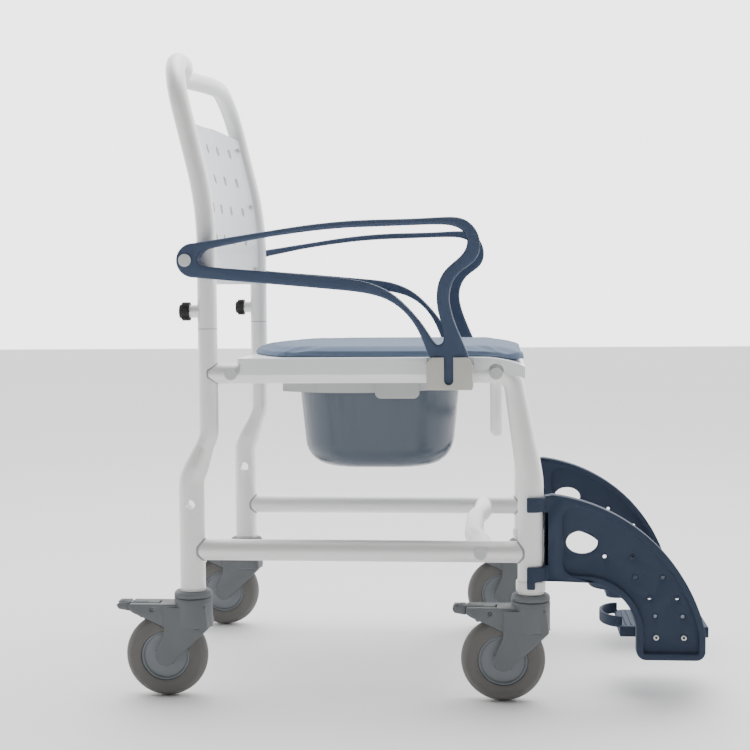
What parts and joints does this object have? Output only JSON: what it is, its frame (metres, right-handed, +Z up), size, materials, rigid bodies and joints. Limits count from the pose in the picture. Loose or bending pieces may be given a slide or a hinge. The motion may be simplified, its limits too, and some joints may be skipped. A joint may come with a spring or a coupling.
{
  "type": "wheeled commode chair",
  "caption": "Wheeled shower commode chair with swing-up arms, lift-off seat pad, slide-out pan, swing-away footrests and braked casters.",
  "frame": {"origin": "middle of the overall box, on the floor", "axes": "+X forward, the way the sitter faces; +Y to the sitter's left; +Z up"},
  "size_m": [0.888, 0.551, 0.9745],
  "materials": {
    "coated_tube": "smooth white coat",
    "bracket_plastic": "moulded, satin",
    "slide_plastic": "moulded, satin",
    "cap_plastic": "moulded, satin",
    "ring_plastic": "moulded, semi-gloss",
    "zinc_steel": "zinc plated",
    "white_shell": "moulded, semi-gloss",
    "pad_skin": "soft moulded polyurethane skin",
    "pan_plastic": "semi-gloss",
    "arm_navy": "fine grained",
    "footrest_navy": "fine grained",
    "knob_black": "fine grained",
    "caster_plastic": "fine grained",
    "wheel_core": "satin",
    "tyre": "worn grey rubber"
  },
  "bodies": {
    "frame": {"rear_post_right": "coated_tube", "seat_rail_right": "coated_tube", "front_leg_right": "coated_tube", "lower_rail_right": "coated_tube", "arm_bracket_right": "bracket_plastic", "pan_slide_right": "slide_plastic", "rear_post_left": "coated_tube", "seat_rail_left": "coated_tube", "front_leg_left": "coated_tube", "lower_rail_left": "coated_tube", "arm_bracket_left": "bracket_plastic", "pan_slide_left": "slide_plastic", "pan_latches": "slide_plastic", "rear_cross_tube": "coated_tube", "front_drop_tube": "coated_tube", "lower_cross_tube": "coated_tube", "frame_bolts": "zinc_steel", "bolt_caps": "cap_plastic", "latch_rings": "ring_plastic", "caster_stems": "zinc_steel", "caster_caps": "caster_plastic", "seat_base": "white_shell"},
    "backrest": {"backrest_hoop": "coated_tube", "back_panel": "white_shell", "panel_pins": "zinc_steel", "pivot_bolts": "zinc_steel"},
    "seat_cushion": {"seat_pad": "pad_skin"},
    "pan": {"commode_pan": "pan_plastic"},
    "armrest_right": {"armrest_right": "arm_navy"},
    "clamp_knob_right": {"clamp_knob_right": "knob_black"},
    "footrest_right": {"footrest_hanger_right": "footrest_navy", "footplate_bracket_right": "footrest_navy", "footplate_screws_right": "zinc_steel"},
    "footplate_right": {"footplate_right": "footrest_navy"},
    "armrest_left": {"armrest_left": "arm_navy"},
    "clamp_knob_left": {"clamp_knob_left": "knob_black"},
    "footrest_left": {"footrest_hanger_left": "footrest_navy", "footplate_bracket_left": "footrest_navy", "footplate_screws_left": "zinc_steel"},
    "footplate_left": {"footplate_left": "footrest_navy"},
    "caster_rear_right": {"caster_fork_rear_right": "caster_plastic", "caster_axle_rear_right": "zinc_steel"},
    "wheel_rear_right": {"caster_core_rear_right": "wheel_core", "caster_tyre_rear_right": "tyre"},
    "brake_rear_right": {"caster_pedal_rear_right": "caster_plastic"},
    "caster_rear_left": {"caster_fork_rear_left": "caster_plastic", "caster_axle_rear_left": "zinc_steel"},
    "wheel_rear_left": {"caster_core_rear_left": "wheel_core", "caster_tyre_rear_left": "tyre"},
    "brake_rear_left": {"caster_pedal_rear_left": "caster_plastic"},
    "caster_front_right": {"caster_fork_front_right": "caster_plastic", "caster_axle_front_right": "zinc_steel"},
    "wheel_front_right": {"caster_core_front_right": "wheel_core", "caster_tyre_front_right": "tyre"},
    "brake_front_right": {"caster_pedal_front_right": "caster_plastic"},
    "caster_front_left": {"caster_fork_front_left": "caster_plastic", "caster_axle_front_left": "zinc_steel"},
    "wheel_front_left": {"caster_core_front_left": "wheel_core", "caster_tyre_front_left": "tyre"},
    "brake_front_left": {"caster_pedal_front_left": "caster_plastic"}
  },
  "joints": [
    {"name": "backrest_lift", "type": "slide", "parent": "frame", "child": "backrest", "axis": [0, 0, 1], "range_m": [0, 0.085]},
    {"name": "seat_cushion_lift", "type": "slide", "parent": "frame", "child": "seat_cushion", "axis": [0, 0, 1], "range_m": [0, 0.15]},
    {"name": "pan_slide", "type": "slide", "parent": "frame", "child": "pan", "axis": [-1, 0, 0], "range_m": [0, 0.3]},
    {"name": "armrest_swing_right", "type": "hinge", "parent": "backrest", "child": "armrest_right", "pos_m": [-0.3225, -0.258, 0.656], "axis": [0, -1, 0], "range_deg": [0, 95]},
    {"name": "knob_turn_right", "type": "hinge", "parent": "backrest", "child": "clamp_knob_right", "pos_m": [-0.3145, -0.225, 0.581], "axis": [1, 0, 0], "continuous": true},
    {"name": "footrest_swing_right", "type": "hinge", "parent": "frame", "child": "footrest_right", "pos_m": [0.179, -0.225, 0.24], "axis": [0, 0, -1], "range_deg": [0, 90]},
    {"name": "footplate_fold_right", "type": "hinge", "parent": "footrest_right", "child": "footplate_right", "pos_m": [0.382, -0.193, 0.096], "axis": [1, 0, 0], "range_deg": [0, 90]},
    {"name": "armrest_swing_left", "type": "hinge", "parent": "backrest", "child": "armrest_left", "pos_m": [-0.3225, 0.258, 0.656], "axis": [0, -1, 0], "range_deg": [0, 95]},
    {"name": "knob_turn_left", "type": "hinge", "parent": "backrest", "child": "clamp_knob_left", "pos_m": [-0.3145, 0.225, 0.581], "axis": [1, 0, 0], "continuous": true},
    {"name": "footrest_swing_left", "type": "hinge", "parent": "frame", "child": "footrest_left", "pos_m": [0.179, 0.225, 0.24], "axis": [0, 0, 1], "range_deg": [0, 90]},
    {"name": "footplate_fold_left", "type": "hinge", "parent": "footrest_left", "child": "footplate_left", "pos_m": [0.382, 0.193, 0.096], "axis": [-1, 0, 0], "range_deg": [0, 90]},
    {"name": "caster_swivel_rear_right", "type": "hinge", "parent": "frame", "child": "caster_rear_right", "pos_m": [-0.328, -0.225, 0.13], "axis": [0, 0, 1], "continuous": true},
    {"name": "wheel_spin_rear_right", "type": "hinge", "parent": "caster_rear_right", "child": "wheel_rear_right", "pos_m": [-0.369, -0.225, 0.0625], "axis": [0, 1, 0], "continuous": true},
    {"name": "brake_press_rear_right", "type": "hinge", "parent": "caster_rear_right", "child": "brake_rear_right", "pos_m": [-0.388, -0.225, 0.134], "axis": [0, -1, 0], "range_deg": [0, 6]},
    {"name": "caster_swivel_rear_left", "type": "hinge", "parent": "frame", "child": "caster_rear_left", "pos_m": [-0.328, 0.225, 0.13], "axis": [0, 0, 1], "continuous": true},
    {"name": "wheel_spin_rear_left", "type": "hinge", "parent": "caster_rear_left", "child": "wheel_rear_left", "pos_m": [-0.369, 0.225, 0.0625], "axis": [0, 1, 0], "continuous": true},
    {"name": "brake_press_rear_left", "type": "hinge", "parent": "caster_rear_left", "child": "brake_rear_left", "pos_m": [-0.388, 0.225, 0.134], "axis": [0, -1, 0], "range_deg": [0, 6]},
    {"name": "caster_swivel_front_right", "type": "hinge", "parent": "frame", "child": "caster_front_right", "pos_m": [0.179, -0.225, 0.13], "axis": [0, 0, 1], "continuous": true},
    {"name": "wheel_spin_front_right", "type": "hinge", "parent": "caster_front_right", "child": "wheel_front_right", "pos_m": [0.138, -0.225, 0.0625], "axis": [0, 1, 0], "continuous": true},
    {"name": "brake_press_front_right", "type": "hinge", "parent": "caster_front_right", "child": "brake_front_right", "pos_m": [0.119, -0.225, 0.134], "axis": [0, -1, 0], "range_deg": [0, 6]},
    {"name": "caster_swivel_front_left", "type": "hinge", "parent": "frame", "child": "caster_front_left", "pos_m": [0.179, 0.225, 0.13], "axis": [0, 0, 1], "continuous": true},
    {"name": "wheel_spin_front_left", "type": "hinge", "parent": "caster_front_left", "child": "wheel_front_left", "pos_m": [0.138, 0.225, 0.0625], "axis": [0, 1, 0], "continuous": true},
    {"name": "brake_press_front_left", "type": "hinge", "parent": "caster_front_left", "child": "brake_front_left", "pos_m": [0.119, 0.225, 0.134], "axis": [0, -1, 0], "range_deg": [0, 6]}
  ]
}
